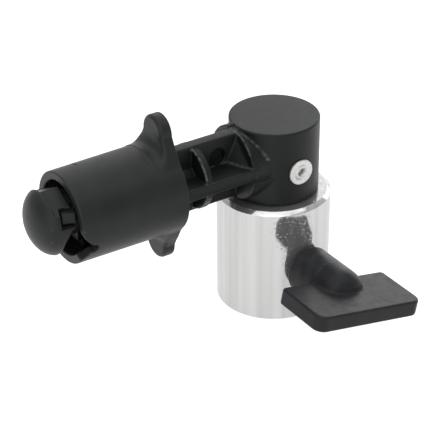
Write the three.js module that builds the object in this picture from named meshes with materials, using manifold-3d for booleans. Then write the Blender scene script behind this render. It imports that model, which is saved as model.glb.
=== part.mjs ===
// Reflector holder grip on a swivel stand receiver: a plated stand socket with a lock screw and T handle,
// a moulded swivel head with a ribbed arm, a spring loaded grip sleeve with two finger ears and a domed jaw.
// Millimetres, +Z up. Origin at the spigot stop, at the socket's blind end, on the socket's axis.
// The arm points along -X, the rivet and the lock screw lie along Y.
import * as THREE from "three";
import { mergeVertices } from "three/addons/utils/BufferGeometryUtils.js";
import Module from "manifold-3d";

const wasm = await Module();
wasm.setup();

// ---- driving dimensions, mm
const SOCKET_R = 15, // outside radius of the stand socket
  SOCKET_BOTTOM = -22,
  SOCKET_TOP = 10.4,
  SOCKET_EDGE = 1.0, // rounded top edge
  SPIGOT_BORE_R = 8.15, // takes a 16 mm (5/8 in) stand spigot
  FLANGE_R = 6.1, // flange of the swivel post
  FLANGE_T = 2,
  POST_R = 4,
  POST_TOP = 27,
  RUN_GAP = 0.06, // radial clearance of the running fits
  REST_GAP = 0.1, // axial gap between pieces that rest on each other
  HEAD_R = 11.7,
  HEAD_BOTTOM = 10.72,
  HEAD_TOP = 31,
  ARM_Z = 21, // height of the arm's axis
  ROOT_R = 9.1,
  ROOT_END = -12.65,
  COLLAR_R = 9.8,
  COLLAR_END = -12.85,
  GUSSET = 3.7, // corner gussets at the root of the upper pockets
  RIB_R = 9.15,
  RIB_HALF_V = 1.65, // half thickness of the upright rib
  RIB_HALF_H = 1.6, // half thickness of the level rib
  WEB_HOLE_R = 2.2,
  WEB_HOLE_X = -18.4,
  WEB_HOLE_UP = 3.9,
  WEB_LEFT = 0.35, // half thickness of the web left between the two recesses
  DISC_R = 8.5, // disc that seats the spring
  DISC_REAR = -24,
  DISC_FRONT = -26,
  BAR_INNER_R = 6.5, // guide bars that carry the sleeve
  CORE_R = 3.6,
  CROSS_REAR = -57.2,
  CROSS_FRONT = -58.8,
  SPIDER_R = 6.9, // the ribs' front end, inside the jaw
  STUD_R = 3,
  STUD_END = -66,
  RIVET_UP = 19.6,
  RIVET_OUT_R = 1.75,
  RIVET_IN_R = 0.9,
  EYELET_R = 3.4,
  SLEEVE_REAR = -33.1,
  SLEEVE_FRONT = -62,
  SLEEVE_R_REAR = 11.92,
  SLEEVE_R_FRONT = 11.6,
  SLEEVE_BORE_R = 9.45,
  EAR_TOP = 19.8, // from the arm's axis
  EAR_TIP_R = 4.5,
  EAR_T = 3.2,
  EAR_FILLET = 3,
  CROWN_MARK_X = -55.9,
  LUG_FRONT = -56.7,
  LUG_T = 2.5,
  SPRING_MEAN_R = 5.15,
  SPRING_WIRE_R = 0.6,
  SPRING_TURNS = 7,
  SEAT_FRONT = -34.2, // end of the full ribs, which seats the spring
  JAW_R = 8.5,
  JAW_UP = 0.4, // the dome sits this much above the arm's axis
  JAW_TIP = -70.8,
  JAW_DOME = 5.4,
  SKIRT_REAR = -62.3,
  SKIRT_FLAT = 7.7,
  NECK_R = 6.2, // the jaw's narrower rear, inside the sleeve
  CHIN_R = 4.6,
  TOOTH = 3.4, // square gripping tooth
  TOOTH_H = 2.8,
  TOOTH_X = -63.6,
  TOOTH_OUT = 7.2, // tooth's face, out from the arm's axis
  TOOTH_UP = 3.65,
  TOOTH_TURN = 16, // degrees
  SCREW_Z = -7.3,
  SCREW_R = 3, // M6
  SCREW_PITCH = 1,
  KNOB_REAR = -15.7,
  STEM_R = 6.45,
  STEM_NOSE = -33.9,
  BLADE_REAR = -25.9,
  BLADE_FRONT = -42.5,
  BLADE_L = 32.9,
  BLADE_T = 4.3,
  BLADE_TILT = -11.7; // degrees, turn of the T handle about its screw at rest

// ---- solids
function toSolid(geometry) {
  const flat = geometry.index ? geometry.toNonIndexed() : geometry;
  const bare = new THREE.BufferGeometry().setAttribute("position", flat.getAttribute("position"));
  const merged = mergeVertices(bare, 1e-4);
  const build = (tri) =>
    new wasm.Manifold(
      new wasm.Mesh({ numProp: 3, vertProperties: merged.attributes.position.array, triVerts: tri }),
    );
  const tri = new Uint32Array(merged.index.array);
  let made = build(tri);
  if (made.volume() < 0) {
    for (let i = 0; i < tri.length; i += 3) [tri[i + 1], tri[i + 2]] = [tri[i + 2], tri[i + 1]];
    made = build(tri);
  }
  return made;
}

function toGeometry(solid) {
  const m = solid.getMesh(),
    v = new Float32Array(m.numVert * 3);
  for (let i = 0; i < m.numVert; i++)
    v.set(m.vertProperties.subarray(i * m.numProp, i * m.numProp + 3), i * 3);
  const g = new THREE.BufferGeometry();
  g.setAttribute("position", new THREE.BufferAttribute(v, 3));
  g.setIndex(new THREE.BufferAttribute(new Uint32Array(m.triVerts), 1));
  return g;
}

// A body turned about Z from [radius, height] points.
function turnedZ(points, segments = 48) {
  const g = new THREE.LatheGeometry(points.map(([r, z]) => new THREE.Vector2(r, z)), segments);
  return toSolid(g.rotateX(Math.PI / 2));
}
// The same about the arm's axis, from [radius, x] points.
function turnedX(points, segments = 48) {
  const g = new THREE.LatheGeometry(points.map(([r, x]) => new THREE.Vector2(r, x)), segments);
  return toSolid(g.rotateZ(-Math.PI / 2).translate(0, 0, ARM_Z));
}
// The same about an axis along Y at height z, from [radius, y] points.
function turnedY(points, z, segments = 32) {
  const g = new THREE.LatheGeometry(points.map(([r, y]) => new THREE.Vector2(r, y)), segments);
  return toSolid(g.translate(0, 0, z));
}
function rodX(r, x0, x1, segments = 48) {
  return turnedX([[0, x0], [r, x0], [r, x1], [0, x1]], segments);
}
function box(x0, x1, y0, y1, z0, z1) {
  const g = new THREE.BoxGeometry(x1 - x0, y1 - y0, z1 - z0);
  return toSolid(g.translate((x0 + x1) / 2, (y0 + y1) / 2, (z0 + z1) / 2));
}
// A flat outline in Y and up-from-the-arm-axis, pushed along X from x0 to x1.
function prismX(points, x0, x1) {
  const s = new THREE.Shape(points.map(([y, up]) => new THREE.Vector2(y, up)));
  const g = new THREE.ExtrudeGeometry(s, { depth: x1 - x0, bevelEnabled: false, curveSegments: 10 });
  g.applyMatrix4(
    new THREE.Matrix4().makeBasis(
      new THREE.Vector3(0, 1, 0), new THREE.Vector3(0, 0, 1), new THREE.Vector3(1, 0, 0),
    ),
  );
  return toSolid(g.translate(x0, 0, ARM_Z));
}
// A flat outline in X and up-from-the-arm-axis, pushed along Y.
function prismY(points, y0, y1) {
  const s = new THREE.Shape(points.map(([x, up]) => new THREE.Vector2(x, up)));
  const g = new THREE.ExtrudeGeometry(s, { depth: y1 - y0, bevelEnabled: false, curveSegments: 10 });
  g.rotateX(Math.PI / 2);
  return toSolid(g.translate(0, y1, ARM_Z));
}
// A wedge about the arm's axis between two angles, degrees, 0 at -Y and 90 at +Z.
function sector(from, to, r, x0, x1) {
  const pts = [[0, 0]];
  for (let i = 0; i <= 6; i++) {
    const a = THREE.MathUtils.degToRad(from + ((to - from) * i) / 6);
    pts.push([-Math.cos(a) * r, Math.sin(a) * r]);
  }
  return prismX(pts, x0, x1);
}
// A solid turned by degrees about the arm's axis.
function aboutArm(solid, degrees) {
  const g = toGeometry(solid).translate(0, 0, -ARM_Z);
  return toSolid(g.rotateX(THREE.MathUtils.degToRad(degrees)).translate(0, 0, ARM_Z));
}
function arc(cx, cy, r, from, to, steps) {
  const pts = [];
  for (let i = 0; i <= steps; i++) {
    const a = THREE.MathUtils.degToRad(from + ((to - from) * i) / steps);
    pts.push([cx + r * Math.cos(a), cy + r * Math.sin(a)]);
  }
  return pts;
}

const root = new THREE.Group();
function piece(name, solid, color, roughness, metalness) {
  const mesh = new THREE.Mesh(
    toGeometry(solid),
    new THREE.MeshStandardMaterial({ color, roughness, metalness }),
  );
  mesh.name = name;
  root.add(mesh);
}

// ---- stand socket: plated body, spigot bore from below, seat for the post's flange
const socketHole = 6.4;
let socket = turnedZ(
  [
    [SPIGOT_BORE_R, 0.3],
    [SPIGOT_BORE_R, SOCKET_BOTTOM + 0.9],
    [SPIGOT_BORE_R + 0.9, SOCKET_BOTTOM],
    [SOCKET_R - 0.4, SOCKET_BOTTOM],
    [SOCKET_R, SOCKET_BOTTOM + 0.4],
    ...arc(SOCKET_R - SOCKET_EDGE, SOCKET_TOP - SOCKET_EDGE, SOCKET_EDGE, 0, 90, 4),
    [POST_R + RUN_GAP, SOCKET_TOP],
    [POST_R + RUN_GAP, FLANGE_T + 0.15],
    [socketHole, FLANGE_T + 0.15],
    [socketHole, 0.3],
    [SPIGOT_BORE_R, 0.3],
  ],
  64,
);
socket = socket.subtract(
  turnedY([[0, -20], [SCREW_R + 0.1, -20], [SCREW_R + 0.1, -4], [0, -4]], SCREW_Z, 32),
);
piece("stand_socket", socket, 0xd8dadc, 0.12, 1);

// ---- swivel post: flange below, shank cross drilled for the rivet
const rivetHole = turnedY(
  [[0, -20], [RIVET_OUT_R + 0.1, -20], [RIVET_OUT_R + 0.1, 20], [0, 20]], RIVET_UP, 28,
);
const post = turnedZ(
  [
    [0, 0], [FLANGE_R - 0.3, 0], [FLANGE_R, 0.3], [FLANGE_R, FLANGE_T], [POST_R, FLANGE_T],
    [POST_R, POST_TOP - 0.5], [POST_R - 0.5, POST_TOP], [0, POST_TOP],
  ],
  64,
).subtract(rivetHole);
piece("swivel_post", post, 0xb8babd, 0.35, 1);

const washerTop = SOCKET_TOP + REST_GAP + 0.9;
piece(
  "thrust_washer",
  turnedZ(
    [
      [4.3, SOCKET_TOP + REST_GAP], [8.6, SOCKET_TOP + REST_GAP], [8.6, washerTop],
      [4.3, washerTop], [4.3, SOCKET_TOP + REST_GAP],
    ],
    48,
  ),
  0x202124, 0.6, 0,
);

// ---- swivel head and ribbed arm, one moulding
function cross(x0, x1) {
  const bars = box(x0, x1, -RIB_HALF_V, RIB_HALF_V, ARM_Z - 12, ARM_Z + 12).add(
    box(x0, x1, -12, 12, ARM_Z - RIB_HALF_H, ARM_Z + RIB_HALF_H),
  );
  return bars.intersect(rodX(RIB_R, x0 - 1, x1 + 1, 64));
}
let head = turnedZ(
  [
    [0, HEAD_BOTTOM], [HEAD_R - 0.35, HEAD_BOTTOM], [HEAD_R, HEAD_BOTTOM + 0.35],
    ...arc(HEAD_R - 0.45, HEAD_TOP - 0.45, 0.45, 0, 90, 3), [0, HEAD_TOP],
  ],
  72,
);
head = head.add(rodX(ROOT_R, ROOT_END, -2, 64));
for (const at of [-45, 135])
  head = head.add(
    rodX(COLLAR_R, COLLAR_END, -4, 60).intersect(sector(at - 33, at + 33, 16, COLLAR_END - 1, -3)),
  );
head = head.add(cross(DISC_FRONT, ROOT_END + 1));
for (const side of [-1, 1]) {
  const y0 = side * (RIB_HALF_V - 0.3),
    z0 = ARM_Z + RIB_HALF_H - 0.3,
    x0 = ROOT_END + 0.3;
  const corner = new THREE.BufferGeometry();
  const at = [[x0, y0, ARM_Z + RIB_R - 0.4], [x0, side * 8.7, z0], [ROOT_END - GUSSET, y0, z0], [x0, y0, z0]];
  corner.setAttribute("position", new THREE.Float32BufferAttribute(at.flat(), 3));
  corner.setIndex([0, 1, 2, 0, 3, 1, 0, 2, 3, 1, 3, 2]);
  head = head.add(toSolid(corner));
}
// a blind recess in each face of the upper web
for (const [a, b] of [[-4, -WEB_LEFT], [WEB_LEFT, 4]])
  head = head.subtract(
    turnedY([[0, a], [WEB_HOLE_R, a], [WEB_HOLE_R, b], [0, b]], ARM_Z + WEB_HOLE_UP, 24).translate([
      WEB_HOLE_X, 0, 0,
    ]),
  );
head = head.add(
  turnedX(
    [
      [0, DISC_FRONT], ...arc(DISC_R - 0.4, DISC_FRONT + 0.4, 0.4, -90, 0, 3),
      [DISC_R, DISC_REAR], [0, DISC_REAR],
    ],
    64,
  ),
);
// full ribs back from the spring's seat, guide bars in front of it
const outer = rodX(RIB_R + 1, CROSS_FRONT - 1, CROSS_REAR, 40).subtract(
  rodX(SPIDER_R, CROSS_FRONT - 2, 0, 40),
);
const bars = cross(CROSS_FRONT, DISC_FRONT + 0.5)
  .subtract(rodX(BAR_INNER_R, CROSS_REAR, SEAT_FRONT, 40))
  .subtract(outer);
head = head
  .add(bars)
  .add(rodX(CORE_R, CROSS_FRONT, DISC_FRONT + 0.5, 32))
  .add(rodX(STUD_R, STUD_END, CROSS_FRONT + 0.5, 32));
head = head.subtract(
  turnedZ([[0, 0], [POST_R + 0.1, 0], [POST_R + 0.1, POST_TOP + 0.3], [0, POST_TOP + 0.3]], 48),
);
head = head.subtract(turnedZ([[0, 0], [8.9, 0], [8.9, washerTop + REST_GAP], [0, washerTop + REST_GAP]]));
head = head.subtract(rivetHole);
piece("swivel_head_arm", head, 0x26282a, 0.55, 0);

// ---- tubular cross rivet, its washer under the rolled end
const face = HEAD_R;
piece(
  "rivet_washer",
  turnedY(
    [
      [RIVET_OUT_R + 0.1, -face - 0.5], [EYELET_R - 0.2, -face - 0.5], [EYELET_R, -face - 0.3],
      [EYELET_R, -face + 0.15], [RIVET_OUT_R + 0.1, -face + 0.15], [RIVET_OUT_R + 0.1, -face - 0.5],
    ],
    RIVET_UP, 36,
  ).subtract(
    turnedZ([[0, 10], [HEAD_R + 0.06, 10], [HEAD_R + 0.06, 32], [0, 32]], 72),
  ),
  0xc9cbcd, 0.3, 1,
);
const rolled = -face - 0.6;
piece(
  "cross_rivet",
  turnedY(
    [
      [0, rolled + 1.7], [RIVET_IN_R, rolled + 1.7], [RIVET_IN_R, rolled], [1.15, rolled - 0.12],
      [1.5, rolled - 0.22], [1.95, rolled - 0.12], [2.15, rolled],
      [RIVET_OUT_R, rolled], [RIVET_OUT_R, face + 0.1],
      [EYELET_R - 0.2, face + 0.1], [EYELET_R, face + 0.35], [EYELET_R - 0.3, face + 0.75], [0, face + 0.75],
    ],
    RIVET_UP, 24,
  ),
  0xc9cbcd, 0.28, 1,
);

// ---- grip sleeve: taper bore tube, two front notches, drive lugs inside, two finger ears
function earOutline() {
  const c = EAR_TOP - EAR_TIP_R;
  const right = [
    [8.4, 7.5], [7.2, 10.3], [6.3, 12], [5.3, 13.6],
    ...arc(0, c, EAR_TIP_R, -2, 182, 14),
    [-5.3, 13.6], [-6.3, 12], [-7.2, 10.3], [-8.4, 7.5],
  ];
  return right;
}
function ear() {
  const plate = prismX(earOutline(), SLEEVE_REAR - EAR_T, SLEEVE_REAR);
  const foot = SLEEVE_REAR - EAR_T;
  const r = EAR_FILLET;
  // concave fillet that follows the sleeve's round
  const base = SLEEVE_R_REAR - 0.06;
  const web = turnedX(
    [
      [10.5, foot - r], ...arc(base + r, foot - r, r, 180, 90, 6), [base + r, foot + 0.5],
      [10.5, foot + 0.5], [10.5, foot - r],
    ],
    60,
  );
  const room = prismX(earOutline(), foot - r, foot + 0.5);
  return plate.add(web.intersect(room));
}
let sleeve = turnedX(
  [
    [SLEEVE_BORE_R, SLEEVE_FRONT],
    ...arc(SLEEVE_R_FRONT - 0.25, SLEEVE_FRONT + 0.25, 0.25, -90, 0, 2),
    ...arc(SLEEVE_R_REAR - 0.4, SLEEVE_REAR - 0.4, 0.4, 0, 90, 3),
    [SLEEVE_BORE_R, SLEEVE_REAR],
    [SLEEVE_BORE_R, SLEEVE_FRONT],
  ],
  72,
);
const earSolid = ear();
sleeve = sleeve.add(earSolid).add(aboutArm(earSolid, 180));
sleeve = sleeve.subtract(rodX(SLEEVE_BORE_R, SLEEVE_FRONT - 1, SLEEVE_REAR + 1, 72));
// notch: wide mouth narrowing to a rounded slot
function notch(at, side) {
  const s = new THREE.Shape(
    [
      [-3, -4.6], [0.3, -3.9], [1.4, -2.3], [2.4, -1.35],
      ...arc(2.9, -0.1, 1.25, -80, 80, 6), [2.2, 1.5], [1.2, 2.6], [0.2, 3.7], [-3, 4.3],
    ].map(([a, t]) => new THREE.Vector2(a, t * side)),
  );
  const g = new THREE.ExtrudeGeometry(s, { depth: 8, bevelEnabled: false });
  g.applyMatrix4(
    new THREE.Matrix4().makeBasis(
      new THREE.Vector3(1, 0, 0), new THREE.Vector3(0, 0, 1), new THREE.Vector3(0, -1, 0),
    ),
  );
  g.translate(SLEEVE_FRONT, -6, ARM_Z);
  return aboutArm(toSolid(g), at);
}
for (const at of [20, 160]) sleeve = sleeve.subtract(notch(at, at > 90 ? -1 : 1));
// narrow mark across the crown
sleeve = sleeve.subtract(
  turnedX(
    [
      [SLEEVE_R_FRONT - 0.15, CROWN_MARK_X - 0.25], [13, CROWN_MARK_X - 0.25], [13, CROWN_MARK_X + 0.25],
      [SLEEVE_R_FRONT - 0.15, CROWN_MARK_X + 0.25], [SLEEVE_R_FRONT - 0.15, CROWN_MARK_X - 0.25],
    ],
    60,
  ).intersect(sector(86, 122, 16, CROWN_MARK_X - 1, CROWN_MARK_X + 1)),
);
for (const at of [45, 135, 225, 315]) {
  const lug = box(LUG_FRONT, LUG_FRONT + LUG_T, -1.15, 1.15, ARM_Z + 4.6, ARM_Z + 9.9);
  sleeve = sleeve.add(aboutArm(lug, at));
}
piece("grip_sleeve", sleeve, 0x2a2c2e, 0.6, 0);

// ---- return spring and its front washer, round the arm's core
const washerFront = LUG_FRONT + LUG_T + REST_GAP,
  washerT = 0.8;
piece(
  "spring_washer",
  turnedX(
    [
      [CORE_R + 0.15, washerFront], [6.25, washerFront], [6.25, washerFront + washerT],
      [CORE_R + 0.15, washerFront + washerT], [CORE_R + 0.15, washerFront],
    ],
    40,
  ),
  0xa9abad, 0.4, 1,
);
const springFront = washerFront + washerT + REST_GAP + SPRING_WIRE_R,
  springRear = SEAT_FRONT - REST_GAP - SPRING_WIRE_R;
class Coil extends THREE.Curve {
  getPoint(t, target = new THREE.Vector3()) {
    const a = t * SPRING_TURNS * 2 * Math.PI,
      // closed end coils, open middle
      dead = 1 / SPRING_TURNS,
      gap = 2.1 * SPRING_WIRE_R,
      span = springRear - springFront - 2 * gap;
    const along =
      t < dead ? (gap * t) / dead : t > 1 - dead ? gap + span + (gap * (t - 1 + dead)) / dead
      : gap + (span * (t - dead)) / (1 - 2 * dead);
    return target.set(
      springFront + along, SPRING_MEAN_R * Math.cos(a), ARM_Z + SPRING_MEAN_R * Math.sin(a),
    );
  }
}
const wire = new THREE.Shape();
wire.absarc(0, 0, SPRING_WIRE_R, 0, Math.PI * 2);
piece(
  "grip_spring",
  toSolid(
    new THREE.ExtrudeGeometry(wire, {
      steps: SPRING_TURNS * 15, curveSegments: 3, bevelEnabled: false, extrudePath: new Coil(),
    }),
  ),
  0x3a3b3d, 0.4, 1,
);

// ---- domed jaw: dome, upper skirt over the sleeve's bore, pockets for the gripping teeth
const domeLine = [];
for (let i = 0; i <= 8; i++) {
  const a = (Math.PI / 2) * (i / 8);
  domeLine.push([JAW_R * Math.sin(a), JAW_TIP + JAW_DOME * (1 - Math.cos(a))]);
}
const neckRear = CROSS_FRONT - REST_GAP;
let jaw = turnedX(
  [...domeLine, [JAW_R, SKIRT_REAR], [NECK_R, SKIRT_REAR], [NECK_R, neckRear], [0, neckRear]],
  56,
).translate([0, 0, JAW_UP]);
jaw = jaw.subtract(rodX(STUD_R + 0.08, STUD_END - 0.3, 0, 28));
// the lower half stays open, so that a rim can seat behind the dome
const seat = prismY(
  [[-66.3, -12], [-65.8, -5], [-65.2, -2], [-63.6, 0.9], [-62.2, 1.5], [-50, 1.5], [-50, -12]],
  -14, 14,
);
jaw = jaw.subtract(seat.subtract(rodX(CHIN_R, JAW_TIP, 0, 28)));
// flats on the two upper quarters of the skirt
for (const [turn, from, to] of [[28, 37, 90], [-28, 90, 143]]) {
  const flat = box(-66.9, -50, -12, 12, ARM_Z + SKIRT_FLAT, ARM_Z + 14);
  jaw = jaw.subtract(aboutArm(flat, turn).intersect(sector(from, to, 18, -80, -50)));
}
// a block in the tooth's own frame: along the arm, inwards from its face, and up
function toothBlock(x0, x1, z0, z1, deep, out = 0) {
  const g = toGeometry(box(x0, x1, -out, deep, z0, z1));
  g.rotateZ(THREE.MathUtils.degToRad(-TOOTH_TURN)).translate(TOOTH_X, -TOOTH_OUT, ARM_Z + TOOTH_UP);
  return toSolid(g);
}
const tx = TOOTH / 2,
  tz = TOOTH_H / 2,
  toothDeep = 4.2,
  snug = 0.12;
jaw = jaw
  .subtract(toothBlock(-tx - snug, tx + snug, -tz - snug, tz + snug, toothDeep + 0.1, 3))
  .subtract(toothBlock(-tx - 0.35, tx + 1, -tz - 0.4, tz + 0.8, 1.9, 3));
piece("jaw_cap", jaw, 0x2a2c2e, 0.5, 0);
piece("grip_tooth", toothBlock(-tx, tx, -tz, tz, toothDeep), 0x303234, 0.5, 0);

// ---- lock screw, pressure pad and T handle
const pad0 = -7.35;
piece(
  "pressure_pad",
  turnedY(
    [[0, pad0 - 2], [2.2, pad0 - 2], [2.4, pad0 - 1.8], [2.4, pad0 - 0.3], [2.1, pad0], [0, pad0]],
    SCREW_Z, 28,
  ),
  0xb08d4a, 0.4, 1,
);
const screw = [[0, KNOB_REAR - 14], [SCREW_R, KNOB_REAR - 14], [SCREW_R, KNOB_REAR - 0.2]];
for (let y = KNOB_REAR + 0.2; y < pad0 - 3.4; y += SCREW_PITCH)
  screw.push(
    [SCREW_R - 0.02, y + 0.05], [SCREW_R - 0.5, y + SCREW_PITCH / 2],
    [SCREW_R - 0.02, y + SCREW_PITCH - 0.05],
  );
screw.push([SCREW_R - 0.6, pad0 - 2.1], [0, pad0 - 2.1]);
piece("lock_screw", turnedY(screw, SCREW_Z, 22), 0xb8babd, 0.35, 1);

let stem = turnedY(
  [
    [0, STEM_NOSE], [3, STEM_NOSE + 0.2], [4.6, STEM_NOSE + 0.8], [5.6, STEM_NOSE + 1.9],
    [6.15, STEM_NOSE + 3.3], [6.35, STEM_NOSE + 5], [STEM_R, -20], [STEM_R - 0.05, KNOB_REAR - 0.9],
    [STEM_R - 0.6, KNOB_REAR], [0, KNOB_REAR],
  ],
  0, 40,
);
const bladeShape = new THREE.Shape();
const hx = BLADE_L / 2 - 0.4,
  y0 = -(BLADE_REAR - 0.4),
  y1 = -(BLADE_FRONT + 0.4),
  c0 = 1.0,
  c1 = 2.6;
bladeShape.moveTo(-hx + c0, y0);
bladeShape.lineTo(hx - c0, y0);
bladeShape.absarc(hx - c0, y0 + c0, c0, -Math.PI / 2, 0);
bladeShape.lineTo(hx, y1 - c1);
bladeShape.absarc(hx - c1, y1 - c1, c1, 0, Math.PI / 2);
bladeShape.lineTo(-hx + c1, y1);
bladeShape.absarc(-hx + c1, y1 - c1, c1, Math.PI / 2, Math.PI);
bladeShape.lineTo(-hx, y0 + c0);
bladeShape.absarc(-hx + c0, y0 + c0, c0, Math.PI, Math.PI * 1.5);
const bladeGeometry = new THREE.ExtrudeGeometry(bladeShape, {
  depth: BLADE_T - 0.8, bevelEnabled: true, bevelThickness: 0.4, bevelSize: 0.4, bevelSegments: 2,
  curveSegments: 5,
});
bladeGeometry.translate(0, 0, -BLADE_T / 2 + 0.4).rotateX(Math.PI);
stem = stem.add(toSolid(bladeGeometry));
stem = stem.subtract(
  turnedY([[0, KNOB_REAR - 14.2], [SCREW_R + 0.05, KNOB_REAR - 14.2], [SCREW_R + 0.05, 0], [0, 0]], 0, 28),
);
const handle = toSolid(
  toGeometry(stem).rotateY(THREE.MathUtils.degToRad(-BLADE_TILT)).translate(0, 0, SCREW_Z),
);
piece("t_handle", handle, 0x2c2d30, 0.5, 0);

export default root;
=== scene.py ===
import math

import bmesh
import bpy
import numpy as np
from mathutils import Matrix, Vector


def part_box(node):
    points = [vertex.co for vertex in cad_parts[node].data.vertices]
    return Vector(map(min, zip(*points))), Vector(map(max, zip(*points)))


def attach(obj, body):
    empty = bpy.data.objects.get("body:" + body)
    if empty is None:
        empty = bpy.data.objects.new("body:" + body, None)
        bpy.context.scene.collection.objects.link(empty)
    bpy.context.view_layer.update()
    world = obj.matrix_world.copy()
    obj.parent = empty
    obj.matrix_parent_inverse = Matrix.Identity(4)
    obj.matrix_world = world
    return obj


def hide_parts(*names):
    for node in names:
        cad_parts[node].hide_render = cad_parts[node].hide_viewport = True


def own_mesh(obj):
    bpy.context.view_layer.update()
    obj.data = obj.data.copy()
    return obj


# Looks of the reflector holder grip. Shapes are worked out in millimetres, in the frame of the CAD model, and
# scaled to metres when a mesh is made. Moulded pieces are the zero level of a distance field, so that every
# edge and inside corner has its moulding radius. Turned and wound pieces are swept profiles.
MM = 0.001

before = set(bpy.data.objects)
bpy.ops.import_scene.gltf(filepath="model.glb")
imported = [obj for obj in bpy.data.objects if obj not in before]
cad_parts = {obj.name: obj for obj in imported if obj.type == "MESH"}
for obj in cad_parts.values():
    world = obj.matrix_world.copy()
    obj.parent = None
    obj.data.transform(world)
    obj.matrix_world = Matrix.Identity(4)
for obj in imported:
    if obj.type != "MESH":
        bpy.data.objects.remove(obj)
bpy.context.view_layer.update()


# ---- sizes from the frame, mm
def box_mm(node):
    low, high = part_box(node)
    return [c / MM for c in low], [c / MM for c in high]


socket_low, socket_high = box_mm("stand_socket")
_, post_high = box_mm("swivel_post")
washer_low, washer_high = box_mm("thrust_washer")
head_low, head_high = box_mm("swivel_head_arm")
sleeve_low, sleeve_high = box_mm("grip_sleeve")
spring_low, spring_high = box_mm("grip_spring")
collar_low, collar_high = box_mm("spring_washer")
jaw_low, jaw_high = box_mm("jaw_cap")
rivet_low, rivet_high = box_mm("cross_rivet")
pad_low, pad_high = box_mm("pressure_pad")
screw_low, screw_high = box_mm("lock_screw")
handle_low, handle_high = box_mm("t_handle")

SOCKET_R = socket_high[0]
SOCKET_BOTTOM, SOCKET_TOP = socket_low[2], socket_high[2]
SOCKET_EDGE = 1.0  # chamfer round the top
BORE_R = 8.15  # takes a 16 mm spigot
FLANGE_R = post_high[0]
FLANGE_TOP = 2.0
POST_R = 4.0
POST_TOP = post_high[2]

HEAD_R = head_high[0]
HEAD_BOTTOM, HEAD_TOP = head_low[2], head_high[2]
ARM_Z = (sleeve_low[2] + sleeve_high[2]) / 2
ROOT_R = 9.1
ROOT_END = -12.65
COLLAR_R = 9.8
COLLAR_END = -12.85
GUSSET, GUSSET_SIDE = 3.7, 8.7  # reach along the arm, and to the side
RIB_R = 9.15
RIB_HALF_V, RIB_HALF_H = 1.65, 1.6
WEB_HOLE_X, WEB_HOLE_UP, WEB_HOLE_R = -18.4, 3.9, 2.2
WEB_LEFT = 0.35  # half the web between the two blind recesses
WASHER_ROOM_R = 8.9
DISC_R = 8.5
DISC_REAR, DISC_FRONT = -24.0, -26.0
BAR_INNER_R = 6.5
CORE_R = 3.6
SEAT_FRONT = spring_high[0] + 0.1  # end of the full ribs, which the spring bears on
CROSS_REAR, CROSS_FRONT = -57.2, -58.8  # the spider, which ties the guide bars to the core
SPIDER_R = 6.9
STUD_R = 3.0
STUD_END = head_low[0]

RIVET_Z = (rivet_low[2] + rivet_high[2]) / 2
RIVET_R = 1.75
RIVET_STAND = 0.5  # how far the rivet's washer stands off the head
EYELET_R = rivet_high[0]

SLEEVE_FRONT, SLEEVE_REAR = sleeve_low[0], sleeve_high[0]
SLEEVE_R_REAR = sleeve_high[1]
SLEEVE_R_FRONT = SLEEVE_R_REAR - 0.32
SLEEVE_BORE_R = 9.45
EAR_TOP = sleeve_high[2] - ARM_Z
EAR_TIP_R = 4.5
EAR_T = 3.2
EAR_FILLET = 3.0  # sweep from an ear's front down onto the tube
CROWN_MARK_X = -55.9
LUG_FRONT, LUG_T = -56.7, 2.5

JAW_R = (jaw_high[1] - jaw_low[1]) / 2
JAW_UP = 0.4  # dome's axis above the arm's
JAW_TIP, NECK_REAR = jaw_low[0], jaw_high[0]
JAW_DOME = 5.4
SKIRT_REAR, NECK_R, CHIN_R = -62.3, 6.2, 4.6
SKIRT_FLAT, FLAT_FRONT = 7.7, -66.9  # flats on the skirt's upper quarters
FLAT_LEAN, FLAT_EDGE = math.radians(28), math.radians(37)
TOOTH_X, TOOTH_OUT, TOOTH_UP = -63.6, 7.2, 3.65
TOOTH_W, TOOTH_H, TOOTH_DEEP = 3.4, 2.8, 4.2
TOOTH_TURN = math.radians(16)

SCREW_Z = (pad_low[2] + pad_high[2]) / 2
SCREW_R = (screw_high[0] - screw_low[0]) / 2
SCREW_PITCH, THREAD_DEPTH = 1.0, 0.52
KNOB_REAR = handle_high[1]
BLADE_FRONT = handle_low[1]
BLADE_REAR = -25.9
BLADE_L, BLADE_T = 32.9, 4.3
BLADE_TILT = math.radians(11.7)
STEM_R = 6.45
STEM_NOSE = -33.9

PLAY = 0.1  # room round a piece in its hole


# ---- distance fields: below zero inside, in mm
def slab(c, low, high):
    """All between two planes."""
    return np.abs(c - (low + high) / 2) - (high - low) / 2


def join(a, b, r):
    """Either solid, with a fillet of radius r in the corner between them."""
    return np.maximum(r, np.minimum(a, b)) - np.hypot(np.maximum(r - a, 0), np.maximum(r - b, 0))


def both(a, b, r):
    """What two solids share, with the edge between them rounded to radius r."""
    return np.minimum(-r, np.maximum(a, b)) + np.hypot(np.maximum(r + a, 0), np.maximum(r + b, 0))


def cut(a, b, r):
    """The first solid less the second."""
    return both(a, -b, r)


def polygon(u, v, points):
    """Distance to a closed outline."""
    best, sign = np.inf, 1.0
    for (u0, v0), (u1, v1) in zip(points, points[1:] + points[:1]):
        eu, ev = u1 - u0, v1 - v0
        wu, wv = u - u0, v - v0
        t = np.clip((wu * eu + wv * ev) / (eu * eu + ev * ev), 0, 1)
        best = np.minimum(best, (wu - eu * t) ** 2 + (wv - ev * t) ** 2)
        above, below, left = v >= v0, v < v1, eu * wv > ev * wu
        crossed = (above & below & left) | ~(above | below | left)
        sign = np.where(crossed, -sign, sign)
    return sign * np.sqrt(best)


def arc(cu, cv, r, start, end, steps):
    """Points on an arc between two angles in degrees."""
    angles = [math.radians(start + (end - start) * i / steps) for i in range(steps + 1)]
    return [(cu + r * math.cos(a), cv + r * math.sin(a)) for a in angles]


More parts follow.
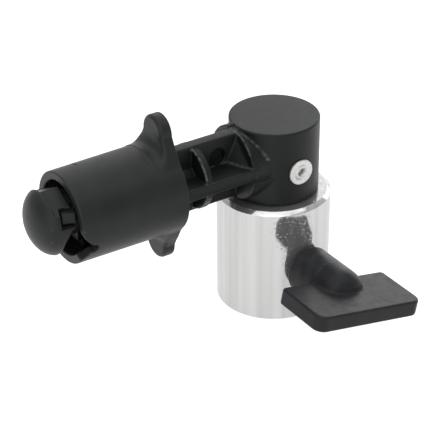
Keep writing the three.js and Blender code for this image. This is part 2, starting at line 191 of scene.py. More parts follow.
def turned(y, up, degrees):
    """Y and up coordinates in a frame turned about the arm's axis."""
    c, s = math.cos(math.radians(degrees)), math.sin(math.radians(degrees))
    return y * c + up * s, up * c - y * s


# ---- meshes
def slope_of(field, p, step):
    """A field's gradient at rows of points."""
    columns = []
    for axis in range(3):
        d = np.zeros(3)
        d[axis] = step
        columns.append((field(*(p + d).T) - field(*(p - d).T)) / (2 * step))
    return np.stack(columns, 1)


def net(name, field, low, high, cell, paint=None):
    """A mesh of quads on a field's zero level: one point in each cell that the surface passes, moved onto it.
    paint gives each point its share of pale moulding flash and painted highlight."""
    axes = [np.arange(a - 2.13 * cell, b + 3 * cell, cell) for a, b in zip(low, high)]
    shape = tuple(len(a) for a in axes)
    x, y, z = axes[0][:, None, None], axes[1][None, :, None], axes[2][None, None, :]
    grid = np.empty(shape, np.float32)
    for i in range(0, shape[0], 32):
        grid[i : i + 32] = field(x[i : i + 32], y, z)
    inside = grid < 0
    count = sum(
        inside[i : shape[0] - 1 + i, j : shape[1] - 1 + j, k : shape[2] - 1 + k].astype(np.int8)
        for i in (0, 1) for j in (0, 1) for k in (0, 1)
    )
    active = (count > 0) & (count < 8)
    cells = np.argwhere(active)
    number = np.full(active.shape, -1, np.int64)
    number[active] = np.arange(len(cells))
    total, hits = np.zeros((len(cells), 3)), np.zeros(len(cells))
    for axis in range(3):
        for du in (0, 1):
            for dv in (0, 1):
                start = np.zeros(3, int)
                start[(axis + 1) % 3], start[(axis + 2) % 3] = du, dv
                end = start.copy()
                end[axis] = 1
                a = grid[tuple((cells + start).T)].astype(float)
                b = grid[tuple((cells + end).T)].astype(float)
                crossed = (a < 0) != (b < 0)
                t = np.where(crossed, a / np.where(crossed, a - b, 1), 0)
                total += np.where(crossed[:, None], start + t[:, None] * (end - start), 0)
                hits += crossed
    p = np.array([a[0] for a in axes]) + (cells + total / hits[:, None]) * cell
    for _ in range(4):
        slope = slope_of(field, p, 0.02)
        move = (field(*p.T) / np.maximum((slope**2).sum(1), 0.2))[:, None] * slope
        p = p - np.clip(move, -0.5 * cell, 0.5 * cell)
    normals = slope_of(field, p, 0.06)
    normals /= np.maximum(np.linalg.norm(normals, axis=1), 1e-6)[:, None]
    quads = []
    for axis in range(3):
        u, v = (axis + 1) % 3, (axis + 2) % 3
        near = np.take(inside, range(shape[axis] - 1), axis)
        far = np.take(inside, range(1, shape[axis]), axis)
        at = np.argwhere(near != far)
        at = at[(at[:, u] > 0) & (at[:, v] > 0) & (at[:, u] < shape[u] - 1) & (at[:, v] < shape[v] - 1)]
        du, dv = np.eye(3, dtype=int)[u], np.eye(3, dtype=int)[v]
        ring = [number[tuple((at - a).T)] for a in (du + dv, dv, 0 * du, du)]
        quad = np.stack(ring, 1)
        out = near[tuple(at.T)]
        quads.append(np.where(out[:, None], quad, quad[:, ::-1]))
    mesh = bpy.data.meshes.new(name)
    mesh.from_pydata((p * MM).tolist(), [], np.concatenate(quads).tolist())
    mesh.shade_smooth()
    mesh.normals_split_custom_set_from_vertices(normals.tolist())
    if paint:
        mesh.attributes.new("flash_and_highlight", "FLOAT", "POINT").data.foreach_set("value", np.clip(paint(*p.T), 0, 1))
    return mesh


def soften(points, r, steps=4, closed=False):
    """A profile with its corners rounded."""
    made = []
    n = len(points)
    for i, here in enumerate(points):
        if not closed and i in (0, n - 1):
            made.append(here)
            continue
        p = Vector(here)
        before, after = Vector(points[i - 1]) - p, Vector(points[(i + 1) % n]) - p
        angle = before.angle(after)
        reach = min(r / math.tan(angle / 2), before.length * 0.45, after.length * 0.45)
        a, b = p + before.normalized() * reach, p + after.normalized() * reach
        for k in range(steps + 1):
            t = k / steps
            made.append(tuple(a * (1 - t) ** 2 + p * 2 * t * (1 - t) + b * t * t))
    return made


def placed(axis, centre_z, r, t, angle):
    """The point at radius r and angle about an axis along x, y or z, and t along it."""
    a, b = r * math.cos(angle), r * math.sin(angle)
    return {"x": (t, a, centre_z + b), "y": (a, t, centre_z + b), "z": (a, b, t)}[axis]


def tidy(bm, name, sharp):
    """The finished mesh, smooth but for edges sharper than an angle in degrees."""
    bmesh.ops.recalc_face_normals(bm, faces=bm.faces)
    mesh = bpy.data.meshes.new(name)
    bm.to_mesh(mesh)
    bm.free()
    mesh.shade_smooth()
    mesh.set_sharp_from_angle(angle=math.radians(sharp))
    return mesh


def lathe(name, profile, axis, centre_z=0.0, segments=96, sharp=35):
    """A body turned from (radius, along) points. A profile that starts off the axis closes on itself."""
    bm = bmesh.new()
    rings = []
    for r, t in profile:
        if r < 1e-6:
            rings.append([bm.verts.new([c * MM for c in placed(axis, centre_z, 0, t, 0)])])
        else:
            turn = [2 * math.pi * i / segments for i in range(segments)]
            ring = [placed(axis, centre_z, r, t, a) for a in turn]
            rings.append([bm.verts.new([c * MM for c in point]) for point in ring])
    pairs = list(zip(rings, rings[1:]))
    if profile[0][0] > 1e-6:
        pairs.append((rings[-1], rings[0]))
    for a, b in pairs:
        for i in range(segments):
            j = (i + 1) % segments
            corners = [a[i % len(a)], a[j % len(a)], b[j % len(b)], b[i % len(b)]]
            bm.faces.new(list(dict.fromkeys(corners)))
    return tidy(bm, name, sharp)


def tube_along(name, centre_of, rows, sides, wire_r):
    """A round wire along a path of points, with closed ends."""
    bm = bmesh.new()
    path = [Vector(centre_of(i / rows)) for i in range(rows + 1)]
    rings = []
    for i, p in enumerate(path):
        tangent = (path[min(i + 1, rows)] - path[max(i - 1, 0)]).normalized()
        out = (p - Vector((p.x, 0, ARM_Z))).normalized()
        across = tangent.cross(out).normalized()
        out = across.cross(tangent)
        turn = [2 * math.pi * k / sides for k in range(sides)]
        ring = [p + (out * math.cos(a) + across * math.sin(a)) * wire_r for a in turn]
        rings.append([bm.verts.new(point * MM) for point in ring])
    for a, b in zip(rings, rings[1:]):
        for i in range(sides):
            j = (i + 1) % sides
            bm.faces.new([a[i], a[j], b[j], b[i]])
    bm.faces.new(rings[0])
    bm.faces.new(rings[-1][::-1])
    return tidy(bm, name, 50)


# ---- materials
class Nodes:
    """A material's node tree with short ways to add to it."""

    def __init__(self, name):
        self.material = bpy.data.materials.new(name)
        self.material.use_nodes = True
        self.tree = self.material.node_tree
        self.shader = self.tree.nodes["Principled BSDF"]
        self.place = self.tree.nodes.new("ShaderNodeTexCoord").outputs["Object"]

    def node(self, kind, **settings):
        made = self.tree.nodes.new("ShaderNode" + kind)
        for key, value in settings.items():
            setattr(made, key, value)
        return made

    def link(self, a, b):
        self.tree.links.new(a, b)

    def stretched(self, scale):
        """Object coordinates scaled by axis."""
        made = self.node("Mapping")
        self.link(self.place, made.inputs["Vector"])
        made.inputs["Scale"].default_value = scale
        return made.outputs["Vector"]

    def noise(self, scale, detail=3.0, rough=0.55, vector=None):
        made = self.node("TexNoise")
        self.link(vector or self.place, made.inputs["Vector"])
        made.inputs["Scale"].default_value = scale
        made.inputs["Detail"].default_value = detail
        made.inputs["Roughness"].default_value = rough
        return made.outputs["Fac"]

    def ramp(self, value, stops):
        """Colours, or greys, at places along a value."""
        made = self.node("ValToRGB")
        self.link(value, made.inputs["Fac"])
        ramp = made.color_ramp
        while len(ramp.elements) < len(stops):
            ramp.elements.new(0.5)
        for element, (at, color) in zip(ramp.elements, stops):
            element.position = at
            element.color = (*color, 1) if hasattr(color, "__len__") else (color, color, color, 1)
        return made.outputs["Color"]

    def between(self, value, low, high):
        made = self.node("MapRange")
        self.link(value, made.inputs["Value"])
        made.inputs["To Min"].default_value = low
        made.inputs["To Max"].default_value = high
        return made.outputs["Result"]

    def mix(self, share, a, b):
        """Two colours mixed. Each is a socket or three numbers."""
        made = self.node("Mix", data_type="RGBA")
        self.link(share, made.inputs["Factor"])
        for socket, value in ((made.inputs[6], a), (made.inputs[7], b)):
            if hasattr(value, "is_output"):
                self.link(value, socket)
            else:
                socket.default_value = (*value, 1)
        return made.outputs[2]

    def bump(self, height, depth_mm, strength, under=None):
        made = self.node("Bump")
        self.link(height, made.inputs["Height"])
        made.inputs["Distance"].default_value = depth_mm * MM
        made.inputs["Strength"].default_value = strength
        if under:
            self.link(under, made.inputs["Normal"])
        return made.outputs["Normal"]


# pale colour of moulding flash and of painted highlights
FLASH_AND_HIGHLIGHT = (0.12, 0.125, 0.125)


def moulded(name, color, worn, roughness, specular, grain=2600, patchy=0.06):
    """Charcoal moulded plastic: clouded colour, paler edges, fine spark-eroded grain over a slight flow, and
    speckled pale flash and painted highlight where a mesh is painted with them.
    """
    n = Nodes(name)
    cloud = n.ramp(n.noise(170, 4), [(0.3, [c * 0.86 for c in color]), (0.7, [c * 1.14 for c in color])])
    edge = n.ramp(n.node("NewGeometry").outputs["Pointiness"], [(0.53, 0.0), (0.62, 1.0)])
    body = n.mix(edge, cloud, worn)
    # speckled pale flash and painted highlight, where a mesh is painted with them
    speckle = n.node("Math", operation="MULTIPLY")
    n.link(n.node("Attribute", attribute_name="flash_and_highlight").outputs["Fac"], speckle.inputs[0])
    n.link(n.ramp(n.noise(1300, 3, 0.7), [(0.40, 0.0), (0.60, 1.0)]), speckle.inputs[1])
    n.link(n.mix(speckle.outputs[0], body, FLASH_AND_HIGHLIGHT), n.shader.inputs["Base Color"])
    n.link(n.between(n.noise(500, 3), roughness - patchy, roughness + patchy), n.shader.inputs["Roughness"])
    flow = n.bump(n.noise(240, 2), 0.05, 0.25)
    n.link(n.bump(n.noise(grain, 3, 0.6), 0.03, 0.35, flow), n.shader.inputs["Normal"])
    n.shader.inputs["Specular IOR Level"].default_value = specular
    return n.material


def plated(name):
    """Bright plating on a turned barrel: faint upright streaks, fine pits that break a reflection's edge."""
    n = Nodes(name)
    n.link(
        n.ramp(
            n.noise(420, 4, 0.5, n.stretched((1, 1, 0.02))),
            [(0.35, (0.49, 0.489, 0.487)), (0.65, (0.57, 0.569, 0.566))],
        ),
        n.shader.inputs["Base Color"],
    )
    n.shader.inputs["Metallic"].default_value = 0.85
    n.shader.inputs["Specular Tint"].default_value = (0.8, 0.8, 0.8, 1)
    n.link(n.between(n.noise(1400, 4), 0.07, 0.16), n.shader.inputs["Roughness"])
    streak = n.bump(n.noise(700, 2, 0.5, n.stretched((1, 1, 0.03))), 0.014, 0.35)
    pits = n.ramp(n.noise(1900, 2), [(0.60, 0.0), (0.75, 1.0)])
    n.link(n.bump(pits, 0.04, 0.65, streak), n.shader.inputs["Normal"])
    return n.material


def metal(name, color, roughness, brushed=(1, 1, 1)):
    """Plain metal with brushing along one direction."""
    n = Nodes(name)
    lines = n.noise(1800, 3, 0.6, n.stretched(brushed))
    n.link(
        n.ramp(lines, [(0.3, [c * 0.86 for c in color]), (0.7, [min(1, c * 1.08) for c in color])]),
        n.shader.inputs["Base Color"],
    )
    n.shader.inputs["Metallic"].default_value = 1.0
    n.link(n.between(n.noise(600, 3), roughness - 0.06, roughness + 0.08), n.shader.inputs["Roughness"])
    n.link(n.bump(lines, 0.01, 0.3), n.shader.inputs["Normal"])
    return n.material


MATERIALS = {
    "black_plastic": moulded("head_plastic", (0.0045, 0.0054, 0.0055), (0.011, 0.012, 0.012), 0.44, 0.22),
    "sleeve_plastic": moulded("sleeve_plastic", (0.0112, 0.0120, 0.0122), (0.026, 0.027, 0.027), 0.42, 0.21),
    "handle_plastic": moulded(
        "handle_plastic", (0.0175, 0.0180, 0.0194), (0.045, 0.046, 0.048), 0.36, 0.10, grain=2000, patchy=0.16
    ),
    "nylon": moulded("nylon", (0.012, 0.012, 0.013), (0.02, 0.02, 0.02), 0.55, 0.4),
    "chrome": plated("chrome"),
    "steel": metal("steel", (0.56, 0.57, 0.58), 0.30, (1, 1, 0.08)),
    "rivet": metal("rivet", (0.60, 0.60, 0.59), 0.45, (1, 0.2, 1)),
    "spring_steel": metal("spring_steel", (0.20, 0.20, 0.21), 0.38),
    "brass": metal("brass", (0.62, 0.46, 0.22), 0.34, (1, 0.1, 1)),
}


def show(mesh, body, node, slot):
    """Puts a mesh in the scene as the piece that stands for a CAD node."""
    piece = bpy.data.objects.new(mesh.name, mesh)
    bpy.context.scene.collection.objects.link(piece)
    mesh.materials.append(MATERIALS[slot])
    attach(piece, body)
    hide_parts(node)
    return piece


# ---- stand socket: plated barrel with a blind bore, cross hole for the lock screw
def stand_socket():
    top, chamfer = SOCKET_TOP, SOCKET_EDGE
    seat_r, seat_z = FLANGE_R + 0.3, 0.3
    seat_top, neck_r = FLANGE_TOP + 0.15, POST_R + 0.06
    lead_in, foot_r = 0.9, 0.4
    upper_edge = [(SOCKET_R, 8), (SOCKET_R, top - chamfer), (SOCKET_R - chamfer, top), (HEAD_R, top)]
    wall = [
        (BORE_R, seat_z),
        (BORE_R, SOCKET_BOTTOM + lead_in),
        (BORE_R + lead_in, SOCKET_BOTTOM),
        *arc(SOCKET_R - foot_r, SOCKET_BOTTOM + foot_r, foot_r, -90, 0, 5),
        (SOCKET_R, -8), (SOCKET_R, 4),
        *soften(upper_edge, 0.15),
        (neck_r + 0.3, top), (neck_r, top - 0.3), (neck_r, seat_top),
        (seat_r, seat_top), (seat_r, seat_z),
    ]
    mesh = lathe("socket_barrel", wall, "z", segments=224)
    piece = show(mesh, "socket", "stand_socket", "chrome")
    hole = [(0, -20), (SCREW_R + PLAY, -20), (SCREW_R + PLAY, -4), (0, -4)]
    drill = bpy.data.objects.new("drill", lathe("drill", hole, "y", SCREW_Z, 48))
    bpy.context.scene.collection.objects.link(drill)
    carve = piece.modifiers.new("cross_hole", "BOOLEAN")
    carve.object, carve.operation, carve.solver = drill, "DIFFERENCE", "EXACT"
    bpy.context.view_layer.update()
    done = bpy.data.meshes.new_from_object(piece.evaluated_get(bpy.context.evaluated_depsgraph_get()))
    piece.modifiers.clear()
    piece.data = done
    done.name = "socket_barrel"
    bpy.data.objects.remove(drill)
    done.shade_smooth()
    done.set_sharp_from_angle(angle=math.radians(35))


# ---- swivel head and ribbed arm
def ribs(y, up, rho):
    """The arm's cross of upright and level ribs."""
    upright, level = np.abs(y) - RIB_HALF_V, np.abs(up) - RIB_HALF_H
    return both(join(upright, level, 0.5), rho - RIB_R, 0.35)


def gussets(x, y, up):
    """Sloped corners between the root's face and the ribs, in the upper pockets."""
    sunk = 0.3  # how far the corner lies inside the root and the ribs
    x0, y0, up0 = ROOT_END + sunk, RIB_HALF_V - sunk, RIB_HALF_H - sunk
    along, side, high = GUSSET + sunk, GUSSET_SIDE - y0, RIB_R - 0.4 - up0
    steep = math.hypot(math.hypot(1 / along, 1 / side), 1 / high)
    face = ((x0 - x) / along + (np.abs(y) - y0) / side + (up - up0) / high - 1) / steep
    solid = np.maximum(np.maximum(face, x - x0 - 1), np.maximum(up0 - up, y0 - np.abs(y)))
    a, b = (x0 - along, y0), (x0, y0 + side)
    t = np.clip(((x - a[0]) * (b[0] - a[0]) + (np.abs(y) - a[1]) * side) / (along**2 + side**2), 0.03, 0.93)
    bead = np.hypot(x - a[0] - t * (b[0] - a[0]), np.abs(y) - a[1] - t * side)
    return np.minimum(solid, np.hypot(bead, up - RIB_HALF_H) - 0.36)


def collars(x, y, up, rho):
    """Raised band round the root's end, in two opposite quarters."""
    half = math.radians(33)
    along, across = np.abs(y + up) / math.sqrt(2), np.abs(y - up) / math.sqrt(2)
    wedge = across * math.cos(half) - along * math.sin(half)
    return both(both(rho - COLLAR_R, slab(x, COLLAR_END, -4), 0.3), wedge, 0.4)


def head_and_arm(x, y, z):
    up = z - ARM_Z
    rho = np.hypot(y, up)
    round_z = np.hypot(x, y)
    cross = ribs(y, up, rho)
    solid = both(round_z - HEAD_R, slab(z, HEAD_BOTTOM, HEAD_TOP), 0.45)
    solid = join(solid, both(rho - ROOT_R, slab(x, ROOT_END, -2), 0.3), 0.2)
    solid = join(solid, collars(x, y, up, rho), 0.25)
    beam = both(cross, slab(x, SEAT_FRONT, ROOT_END + 1), 0.2)
    hole = np.maximum(np.hypot(x - WEB_HOLE_X, up - WEB_HOLE_UP) - WEB_HOLE_R, slab(np.abs(y), WEB_LEFT, 4))
    solid = join(solid, beam, 0.45)
    solid = join(solid, gussets(x, y, up), 0.25)
    solid = cut(solid, hole, 0.3)
    solid = join(solid, both(rho - DISC_R, slab(x, DISC_FRONT, DISC_REAR), 0.4), 0.3)
    rails = both(cross, BAR_INNER_R - rho, 0.2)
    rails = both(rails, slab(x, CROSS_REAR - 0.3, SEAT_FRONT + 0.5), 0.2)
    spider = both(both(cross, rho - SPIDER_R, 0.2), slab(x, CROSS_FRONT, CROSS_REAR), 0.2)
    solid = np.minimum(solid, np.minimum(rails, spider))
    core = both(rho - CORE_R, slab(x, CROSS_FRONT, DISC_FRONT + 0.5), 0.2)
    stud = both(rho - STUD_R, slab(x, STUD_END, CROSS_FRONT + 0.5), 0.4)
    solid = np.minimum(join(solid, core, 0.25), stud)
    well = np.maximum(round_z - POST_R - PLAY, z - POST_TOP - 0.3)
    recess = np.maximum(round_z - WASHER_ROOM_R, z - washer_high[2] - PLAY)
    pin = np.hypot(x, z - RIVET_Z) - RIVET_R - PLAY
    return cut(cut(solid, np.minimum(well, recess), 0.2), pin, 0.15)


def head_flash_and_highlights(x, y, z):
    """Pale marks painted along edges: flash and painted highlight along the root's seam and rim, painted
    highlight along the gussets' ridge and the disc's front edge, painted light on the disc's lower band.
    """
    up = z - ARM_Z
    rho, round_z = np.hypot(y, up), np.hypot(x, y)
    far = 9  # more than any pale mark reaches
    seam = np.hypot(rho - ROOT_R, round_z - HEAD_R) + np.where(up > 3, 0, far)
    rim = np.hypot(rho - ROOT_R, x - ROOT_END) + np.where(up > 5, 0, far)
    disc = np.hypot(rho - DISC_R, x - DISC_FRONT)
    ridge = np.abs(up - RIB_HALF_H - 0.4) + np.abs((ROOT_END - x) / GUSSET + np.abs(y) / GUSSET_SIDE - 1.1)
    # pale flash and painted highlight at the root's seam and rim; painted highlight at the disc's front edge
    # and the gussets' ridge
    near = 1.3 - np.minimum(seam, rim) / 0.4
    edge = 1.4 - np.minimum(disc, ridge + 0.3) / 0.4
    # painted light on the lower band of the disc, where the floor lights it
    on_band = (up < -3) & (x > DISC_FRONT + 0.1) & (x < DISC_REAR + 0.3)
    band = np.where(on_band, np.abs(rho - DISC_R), far)
    return np.where(x < 0, np.maximum(np.maximum(0.55 * near, edge), 0.9 * (1.4 - band / 0.25)), 0)


# ---- grip sleeve
def ear_outline():
    """An ear seen along the arm: a round tip and flanks that spread to the tube."""
    c = EAR_TOP - EAR_TIP_R
    flank = [(8.4, 7.5), (7.2, 10.3), (6.3, 12.0), (5.3, 13.6)]
    return flank + arc(0, c, EAR_TIP_R, -2, 182, 20) + [(-y, up) for y, up in reversed(flank)]


def ears(x, y, up, rho):
    """Both finger ears: a flat rear, a front that sweeps down onto the tube."""
    foot, base, r = SLEEVE_REAR - EAR_T, SLEEVE_R_REAR - 0.06, EAR_FILLET
    outline = polygon(np.abs(y), np.abs(up), ear_outline())
    front = r - np.hypot(np.maximum(base + r - rho, 0), np.maximum(x - foot + r, 0))
    plate = both(outline, front, 0.9)
    return np.maximum(plate, foot - r - 0.5 - x)


def notch(x, y, up, at, side):
    """Wide mouth in the front rim that narrows to a rounded slot."""
    out, t = turned(y, up, at)
    a, t = x - SLEEVE_FRONT, t * side + 0.12
    slot = np.hypot(np.maximum(a - 2.8, 0), t) - 1.2
    mouth = np.maximum((np.abs(t) + 1.2 * (a - 0.2) - 3.7) / 1.56, np.abs(t) - 3.9)
    return np.maximum(join(slot, mouth, 0.6), out + 6)


def lugs(x, y, up):
    """Four inner lugs, between the ribs, that push the spring's washer back."""
    a, b = np.abs(y + up) / math.sqrt(2), np.abs(y - up) / math.sqrt(2)
    out, across = np.maximum(a, b), np.minimum(a, b)
    block = both(slab(out, 4.6, 9.9), across - 1.15, 0.25)
    return both(block, slab(x, LUG_FRONT, LUG_FRONT + LUG_T), 0.25)


def sleeve(x, y, z):
    up = z - ARM_Z
    rho = np.hypot(y, up)
    share = (x - SLEEVE_FRONT) / (SLEEVE_REAR - SLEEVE_FRONT)
    outside = rho - SLEEVE_R_FRONT - (SLEEVE_R_REAR - SLEEVE_R_FRONT) * share
    solid = join(both(outside, SLEEVE_FRONT - x, 0.35), ears(x, y, up, rho), 0.5)
    solid = both(solid, x - SLEEVE_REAR, 0.4)
    solid = cut(solid, rho - SLEEVE_BORE_R, 0.3)
    for at, side in ((20, 1), (160, -1)):
        solid = cut(solid, notch(x, y, up, at, side), 0.3)
    mark = np.hypot(x - CROWN_MARK_X, (rho - SLEEVE_R_FRONT - 0.1) * 0.8) - 0.2
    mark = np.maximum(mark, np.hypot(y - 4.6, up - 11) - 2.4)
    return join(cut(solid, mark, 0.08), lugs(x, y, up), 0.3)


# ---- domed jaw with its side pocket, and the tooth in it
def in_tooth(x, y, up):
    """Coordinates along the tooth's width, depth and height."""
    c, s = math.cos(TOOTH_TURN), math.sin(TOOTH_TURN)
    dx, dy = x - TOOTH_X, y + TOOTH_OUT
    return dx * c - dy * s, dx * s + dy * c, up - TOOTH_UP


def pocket(x, y, up, left, right, below, above, deep):
    """A square hole with the tooth in it and room on each side."""
    a, b, c = in_tooth(x, y, up)
    wide = slab(a, -TOOTH_W / 2 - left, TOOTH_W / 2 + right)
    high = slab(c, -TOOTH_H / 2 - below, TOOTH_H / 2 + above)
    return np.maximum(both(wide, high, 0.15), slab(b, -3, deep))


def jaw(x, y, z):
    up = z - ARM_Z
    rho = np.hypot(y, up)
    from_dome = np.minimum(x - JAW_TIP - JAW_DOME, 0)
    round_up = np.hypot(y, up - JAW_UP) + 1e-9
    k0 = np.hypot(from_dome / JAW_DOME, round_up / JAW_R)
    k1 = np.hypot(from_dome / JAW_DOME**2, round_up / JAW_R**2)
    solid = both(k0 * (k0 - 1) / k1, x - SKIRT_REAR, 0.25)
    outward = np.abs(y) * math.sin(FLAT_LEAN) + up * math.cos(FLAT_LEAN)
    flat = np.maximum(SKIRT_FLAT - outward, FLAT_FRONT - x)
    flat = np.maximum(flat, np.abs(y) * math.sin(FLAT_EDGE) - up * math.cos(FLAT_EDGE))
    solid = cut(solid, flat, 0.12)
    neck = both(round_up - NECK_R, slab(x, SKIRT_REAR - 1, NECK_REAR), 0.2)
    solid = join(solid, neck, 0.2)
    open_line = [
        (-66.3, -12), (-65.8, -5), (-65.2, -2), (-63.6, 0.9), (-62.2, 1.5), (-50, 1.5), (-50, -12),
    ]
    opening = np.maximum(polygon(x, up, open_line), CHIN_R - rho)
    solid = cut(solid, opening, 0.3)
    solid = cut(solid, np.maximum(rho - STUD_R - 0.08, STUD_END - 0.3 - x), 0.15)
    snug = 0.12
    solid = cut(solid, pocket(x, y, up, snug, snug, snug, snug, TOOTH_DEEP + PLAY), 0.12)
    return cut(solid, pocket(x, y, up, 0.35, 1, 0.4, 0.8, 1.9), 0.15)


def tooth(x, y, z):
    a, b, c = in_tooth(x, y, z - ARM_Z)
    sides = both(np.abs(a) - TOOTH_W / 2, np.abs(c) - TOOTH_H / 2, 0.3)
    return both(sides, slab(b, 0, TOOTH_DEEP), 0.3)


# ---- T handle: stem with a blunt nose, flat blade with rounded corners
def t_handle(x, y, z):
    c, s = math.cos(BLADE_TILT), math.sin(BLADE_TILT)
    low = z - SCREW_Z
    a, h = x * c - low * s, x * s + low * c
    rho = np.hypot(a, h)
    blunt, long = 2.6, 5.6  # the nose is a superellipse
    nose = np.maximum(STEM_NOSE + long - y, 0) / long
    bulk = (nose**blunt + (rho / STEM_R) ** blunt) ** (1 / blunt)
    stem = both((bulk - 1) * STEM_R, y - KNOB_REAR, 0.7)
    corner = np.where(y < (BLADE_REAR + BLADE_FRONT) / 2, 2.8, 1.2)
    du = np.abs(a) - BLADE_L / 2 + corner
    dv = slab(y, BLADE_FRONT, BLADE_REAR) + corner
    outline = np.minimum(np.maximum(du, dv), 0) + np.hypot(np.maximum(du, 0), np.maximum(dv, 0)) - corner
    blade = both(outline, np.abs(h) - BLADE_T / 2, 0.55)
    solid = join(stem, blade, 0.45)
    drilled = np.maximum(rho - SCREW_R - 0.05, screw_low[1] - 0.2 - y)
    return cut(solid, drilled, 0.1)


def stem_painted_highlights(x, y, z):
    """Patchy painted highlights on the round stem."""
    low = z - SCREW_Z
    angle = np.arctan2(low, x)
    patches = 0.5 + 0.5 * np.sin(3 * angle + 0.9 * y) * np.cos(0.7 * y + 2 * angle)
    return np.where((y > BLADE_REAR + 0.5) & (np.hypot(x, low) > STEM_R - 0.6), 0.16 * patches, 0.0)


# ---- rivet washer, curved behind to fit the head
def rivet_washer(x, y, z):
    ring = np.hypot(x, z - RIVET_Z)
    face = slab(y, -HEAD_R - RIVET_STAND, -HEAD_R + 0.3)
    solid = both(ring - EYELET_R, face, 0.22)
    solid = cut(solid, ring - RIVET_R - PLAY, 0.1)
    return np.maximum(solid, HEAD_R + 0.06 - np.hypot(x, y))


def cross_rivet():
    """A blind-ended tube rolled over its washer in front, with a flat head behind."""
    washer, back = -HEAD_R - RIVET_STAND, HEAD_R + 0.1
    rolled = [
        (0, washer + 1.6), (0.82, washer + 1.5), (0.88, washer + 0.5),
        (1.15, washer - 0.12), (1.5, washer - 0.22), (1.95, washer - 0.12), (2.15, washer),
        (RIVET_R, washer + 0.02), (RIVET_R, back),
    ]
    profile = [
        *soften(rolled, 0.25, 6), (EYELET_R - 0.2, back), *arc(EYELET_R - 0.3, back + 0.35, 0.3, 0, 90, 6),
        (0, back + 0.65),
    ]
    return lathe("tube_rivet", profile, "y", RIVET_Z, 96, 40)


def lock_screw():
    """M6 rod with a right hand helical thread."""
    bm = bmesh.new()
    sides, rows_per_turn = 48, 10
    start, end = screw_low[1], screw_high[1]
    rows = int((end - start) / SCREW_PITCH * rows_per_turn)
    rings = []
    for i in range(rows + 1):
        y = start + (end - start) * i / rows
        taper = min(1.0, 0.3 + (end - y) / 0.8)
        ring = []
        for k in range(sides):
            angle = 2 * math.pi * k / sides
            phase = (y / SCREW_PITCH + k / sides) % 1
            depth = THREAD_DEPTH * max(0.0, 1 - abs(phase - 0.5) * 2.5)
            r = (SCREW_R - 0.02 - depth) * (0.8 + 0.2 * taper)
            ring.append(bm.verts.new([c * MM for c in placed("y", SCREW_Z, r, y, angle)]))
        rings.append(ring)
    for a, b in zip(rings, rings[1:]):
        for i in range(sides):
            j = (i + 1) % sides
            bm.faces.new([a[i], a[j], b[j], b[i]])
    bm.faces.new(rings[0])
    bm.faces.new(rings[-1][::-1])
    return tidy(bm, "threaded_rod", 40)


def grip_spring():
    """A compression spring with one dead coil at each end."""
    wire_r, turns = 0.6, 7
    mean_r = spring_high[1] - wire_r
    start, end = spring_low[0] + wire_r, spring_high[0] - wire_r
    dead, gap = 1 / turns, 2.1 * wire_r

    def centre_of(t):
        open_span = end - start - 2 * gap
        if t < dead:
            along = gap * t / dead
        elif t > 1 - dead:
            along = gap + open_span + gap * (t - 1 + dead) / dead
        else:
            along = gap + open_span * (t - dead) / (1 - 2 * dead)
        a = 2 * math.pi * turns * t
        return (start + along, mean_r * math.cos(a), ARM_Z + mean_r * math.sin(a))

    return tube_along("return_spring", centre_of, turns * 48, 16, wire_r)


def ring_profile(inner, outer, low, high, edge):
    return soften([(inner, low), (outer, low), (outer, high), (inner, high)], edge, closed=True)


def post():
    flange = [(0, 0), (FLANGE_R, 0), (FLANGE_R, FLANGE_TOP)]
    shank = [(POST_R, FLANGE_TOP), (POST_R, POST_TOP), (0, POST_TOP)]
    return lathe("swivel_pin", soften(flange + shank, 0.4), "z")


def pressure_pad():
    high, low, pad_r = pad_high[1], pad_low[1], 2.4
    profile = soften([(0, low), (pad_r, low), (pad_r, high), (0, high)], 0.3)
    return lathe("pad", profile, "y", SCREW_Z, 64)


def object_pieces():
    """Every piece, each with the body it rides on, the CAD node it stands for and its slot."""
    stand_socket()
    show(post(), "head", "swivel_post", "steel")
    thrust = ring_profile(POST_R + 0.3, washer_high[0], washer_low[2], washer_high[2], 0.12)
    show(lathe("slip_ring", thrust, "z"), "head", "thrust_washer", "nylon")
    cell = 0.27
    # the arm is painted with pale flash and painted highlights along its edges
    arm = net("head_arm", head_and_arm, head_low, head_high, cell, head_flash_and_highlights)
    show(arm, "head", "swivel_head_arm", "black_plastic")
    show(net("sleeve_body", sleeve, sleeve_low, sleeve_high, cell), "sleeve", "grip_sleeve", "sleeve_plastic")
    show(net("jaw_dome", jaw, jaw_low, jaw_high, 0.2), "head", "jaw_cap", "sleeve_plastic")
    tooth_low, tooth_high = box_mm("grip_tooth")
    show(net("tooth", tooth, tooth_low, tooth_high, 0.12), "head", "grip_tooth", "sleeve_plastic")
    rw_low, rw_high = box_mm("rivet_washer")
    show(net("rivet_flange", rivet_washer, rw_low, rw_high, 0.1), "head", "rivet_washer", "rivet")
    show(cross_rivet(), "head", "cross_rivet", "rivet")
    spring = show(grip_spring(), "head", "grip_spring", "spring_steel")
    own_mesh(spring)
    collar = ring_profile(CORE_R + 0.15, collar_high[1], collar_low[0], collar_high[0], 0.12)
    show(lathe("spring_collar", collar, "x", ARM_Z), "sleeve", "spring_washer", "steel")
    show(pressure_pad(), "clamp", "pressure_pad", "brass")
    show(lock_screw(), "handle", "lock_screw", "steel")
    # the stem is painted with patchy highlights
    tee = net("tee_handle", t_handle, handle_low, handle_high, 0.25, stem_painted_highlights)
    show(tee, "handle", "t_handle", "handle_plastic")


object_pieces()


# ---- camera, floor and light
LIT_POINT = (-0.02, 0, 0.01)  # what every lamp is aimed at


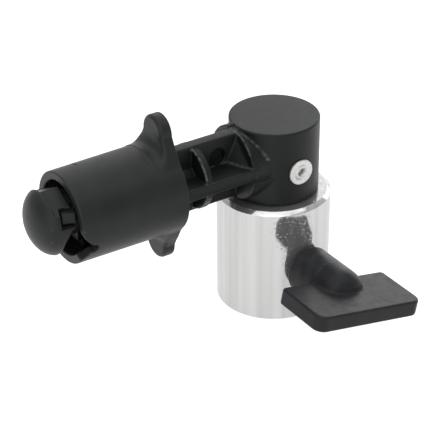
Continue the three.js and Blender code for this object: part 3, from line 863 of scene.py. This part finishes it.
def camera():
    """The photograph's view, as fitted to the object's edges."""
    azimuth, elevation, roll = math.radians(-33.209), math.radians(30.797), math.radians(-0.468)
    out = math.cos(elevation)
    back = Vector((math.sin(azimuth) * out, -math.cos(azimuth) * out, math.sin(elevation)))
    level = Vector((math.cos(azimuth), math.sin(azimuth), 0))
    up = back.cross(level)
    right = level * math.cos(roll) + up * math.sin(roll)
    up = back.cross(right)
    data = bpy.data.cameras.new("camera")
    data.sensor_width, data.lens = 36, 123.65
    data.clip_start, data.clip_end = 0.02, 20
    made = bpy.data.objects.new("camera", data)
    bpy.context.scene.collection.objects.link(made)
    place = Vector((-199.0, -277.69, 203.67)) * MM
    made.matrix_world = Matrix((
        (right.x, up.x, back.x, place.x),
        (right.y, up.y, back.y, place.y),
        (right.z, up.z, back.z, place.z),
        (0, 0, 0, 1),
    ))
    bpy.context.scene.camera = made


def floor():
    """A pale table that reads as the photograph's white ground."""
    n = Nodes("floor")
    n.link(n.ramp(n.noise(3, 2), [(0.3, 0.29), (0.7, 0.31)]), n.shader.inputs["Base Color"])
    n.shader.inputs["Emission Color"].default_value = (1, 1, 1, 1)
    n.shader.inputs["Emission Strength"].default_value = 0.92
    n.shader.inputs["Roughness"].default_value = 0.9
    n.shader.inputs["Specular IOR Level"].default_value = 0.1
    mesh = bpy.data.meshes.new("floor")
    half, low = 3.0, SOCKET_BOTTOM * MM
    corners = [(-half, -half, low), (half, -half, low), (half, half, low), (-half, half, low)]
    mesh.from_pydata(corners, [], [(0, 1, 2, 3)])
    mesh.materials.append(n.material)
    made = bpy.data.objects.new("floor", mesh)
    bpy.context.scene.collection.objects.link(made)


def softbox(name, place, size, watts):
    """A lamp aimed at the object that the camera doesn't see."""
    data = bpy.data.lights.new(name, "AREA")
    data.shape, data.size, data.size_y, data.energy = "RECTANGLE", size[0], size[1], watts
    made = bpy.data.objects.new(name, data)
    bpy.context.scene.collection.objects.link(made)
    made.location = place
    made.visible_camera = False
    made.rotation_mode = "QUATERNION"
    made.rotation_quaternion = (Vector(LIT_POINT) - Vector(place)).to_track_quat("-Z", "Y")


def lights():
    world = bpy.data.worlds.new("studio")
    world.use_nodes = True
    bpy.context.scene.world = world
    world.node_tree.nodes["Background"].inputs["Color"].default_value = (1, 1, 1, 1)
    world.node_tree.nodes["Background"].inputs["Strength"].default_value = 0.6
    softbox("top", (-0.1, 0, 1.2), (2.0, 2.0), 14)
    softbox("back", (0.6, 1.2, 0.85), (2.2, 1.3), 7.5)
    softbox("side", (1.6, 0.75, 0.3), (1.8, 1.1), 11)
    softbox("front", (-0.9, -1.1, 1.3), (1.5, 1.1), 4)
    softbox("left", (-1.5, -0.9, 0.35), (1.6, 1.1), 7)


camera()
floor()
lights()
bpy.context.scene.view_settings.view_transform = "Standard"
bpy.context.scene.view_settings.look = "None"
